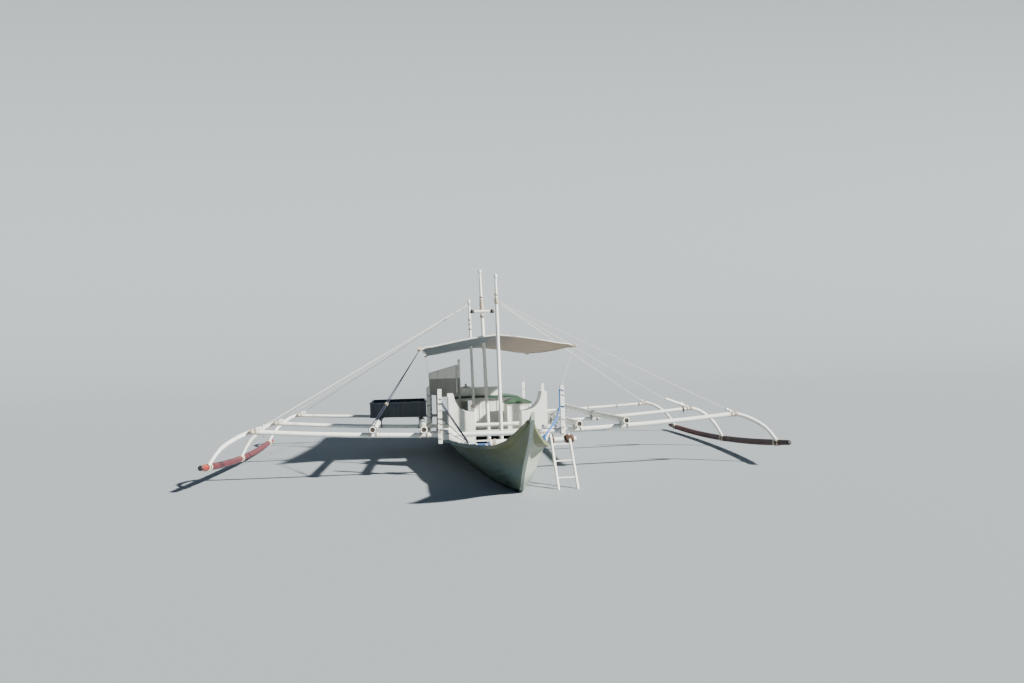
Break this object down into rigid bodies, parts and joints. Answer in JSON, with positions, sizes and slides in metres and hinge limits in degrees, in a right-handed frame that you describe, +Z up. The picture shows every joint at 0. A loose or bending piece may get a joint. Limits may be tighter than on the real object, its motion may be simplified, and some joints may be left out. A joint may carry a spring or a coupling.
{
  "type": "outrigger canoe",
  "caption": "Planked motor canoe, open in the middle, carried by its hull and two floats on crossbeams and curved arms, with a stretched canopy, masts, engine house, boarding ladder and tiller.",
  "frame": {"origin": "on the centreline at the waterline, below the middle crossbeam, with the boat afloat and its bow riding 1.7 degrees high", "axes": "+X towards the bow along the water, +Y to port, +Z straight up from the water"},
  "size_m": [10.7345, 10.04, 4.445],
  "materials": {
    "hull_paint": "white gloss paint over planks, worn",
    "rail_paint": "dark green paint",
    "trim_white": "white paint, brushed on",
    "pole_white": "white paint over round poles",
    "platform_blue": "light blue paint",
    "roof_green": "green paint",
    "float_red": "red gloss paint",
    "float_maroon": "dark red gloss paint",
    "tarp": "coated woven tarpaulin",
    "rope": "laid synthetic rope",
    "bare_timber": "weathered bare timber",
    "engine_iron": "painted casting",
    "bronze": "cast bronze",
    "lamp_dark": "black moulded plastic"
  },
  "bodies": {
    "boat": {"hull": "hull_paint", "keel": "hull_paint", "gunwale_port": "rail_paint", "gunwale_starboard": "rail_paint", "sole": "bare_timber", "deck": "trim_white", "bow_platform": "platform_blue", "bow_bench": "trim_white", "front_frame": "trim_white", "beam_seat_front": "pole_white", "beam_seat_middle": "pole_white", "beam_seat_rear": "pole_white", "crossbeam_front": "pole_white", "crossbeam_middle": "pole_white", "crossbeam_rear": "pole_white", "arm_front_port": "pole_white", "arm_front_starboard": "pole_white", "arm_middle_port": "pole_white", "arm_middle_starboard": "pole_white", "arm_rear_port": "pole_white", "arm_rear_starboard": "pole_white", "float_port": "float_maroon", "float_starboard": "float_red", "pole_outer_port": "pole_white", "pole_outer_starboard": "pole_white", "pole_inner_port": "pole_white", "pole_inner_starboard": "pole_white", "post_front_port": "trim_white", "post_front_starboard": "trim_white", "post_middle_port": "trim_white", "post_middle_starboard": "trim_white", "post_rear_port": "trim_white", "post_rear_starboard": "trim_white", "engine_house": "trim_white", "engine_house_roof": "roof_green", "roof_box": "trim_white", "port_locker": "trim_white", "screen_frame": "trim_white", "screen_panel": "trim_white", "side_tray": "trim_white", "mast_front": "pole_white", "mast_middle": "pole_white", "mast_aft": "pole_white", "crossarm": "lamp_dark", "canopy": "tarp", "stay_port_front": "rope", "stay_port_rear": "rope", "stay_starboard_front": "rope", "stay_starboard_rear": "rope", "ladder_bar": "pole_white", "engine": "engine_iron", "rudder_gudgeons": "bronze"},
    "steering": {"rudder": "hull_paint", "tiller": "bare_timber"},
    "screw": {"propeller": "bronze"},
    "box_lid": {"roof_box_lid": "trim_white", "roof_vent": "trim_white"},
    "locker_lid": {"port_locker_lid": "roof_green"},
    "boarding_ladder": {"ladder": "pole_white"}
  },
  "joints": [
    {"name": "rudder_turn", "type": "hinge", "parent": "boat", "child": "steering", "pos_m": [-4.86681, 0, 0.15399], "axis": [-0.03, 0, 0.9995], "range_deg": [-35, 35]},
    {"name": "propeller_spin", "type": "hinge", "parent": "boat", "child": "screw", "pos_m": [-4.32862, 0, -0.44397], "axis": [-0.9913, 0, -0.1318], "continuous": true},
    {"name": "box_lid_lift", "type": "hinge", "parent": "boat", "child": "box_lid", "pos_m": [-1.65985, -0.195, 1.30277], "axis": [0, -1, 0], "range_deg": [0, 95]},
    {"name": "locker_lid_lift", "type": "hinge", "parent": "boat", "child": "locker_lid", "pos_m": [-0.58098, 0.91, 1.02332], "axis": [-0.9995, 0, -0.03], "range_deg": [0, 100]},
    {"name": "ladder_swing", "type": "hinge", "parent": "boat", "child": "boarding_ladder", "pos_m": [3.48068, 0.76, 0.69594], "axis": [0, -1, 0], "range_deg": [0, 80]}
  ]
}
